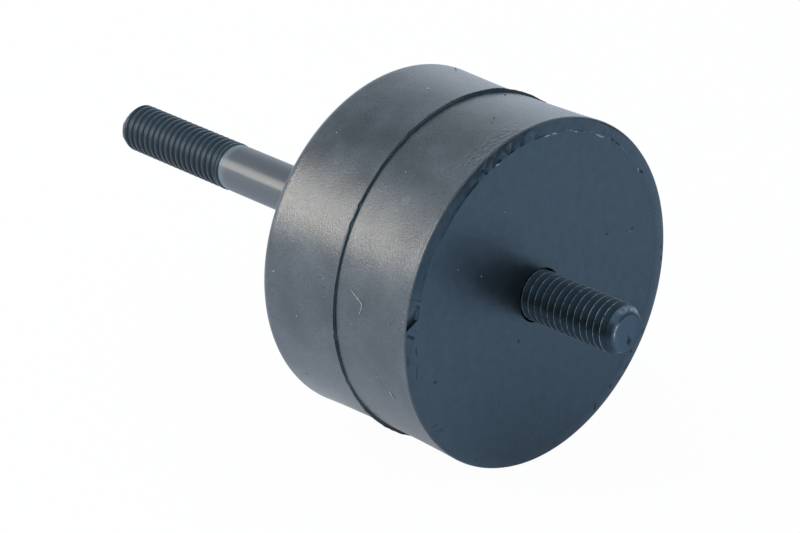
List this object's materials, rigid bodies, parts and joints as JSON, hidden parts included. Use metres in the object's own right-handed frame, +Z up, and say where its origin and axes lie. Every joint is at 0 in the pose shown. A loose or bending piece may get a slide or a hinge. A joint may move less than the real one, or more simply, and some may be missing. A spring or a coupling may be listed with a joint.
{
  "type": "engine mount",
  "caption": "Cylindrical rubber engine mount: a moulded block bonded to a steel plate at each end, with a short threaded stud on one and a long shanked stud on the other.",
  "frame": {"origin": "on the axis, at the front seat face, where the short stud leaves it", "axes": "+X along the axis, the way the short stud points; +Z up, with the mount lying on its side"},
  "size_m": [0.135, 0.0666, 0.0666],
  "materials": {
    "rubber": "moulded, satin",
    "plate_steel": "matte bonding coat",
    "stud_steel": "black phosphate"
  },
  "bodies": {
    "root": {"rubber_block": "rubber", "front_plate": "plate_steel", "rear_plate": "plate_steel", "front_stud": "stud_steel", "rear_stud": "stud_steel"}
  },
  "joints": []
}
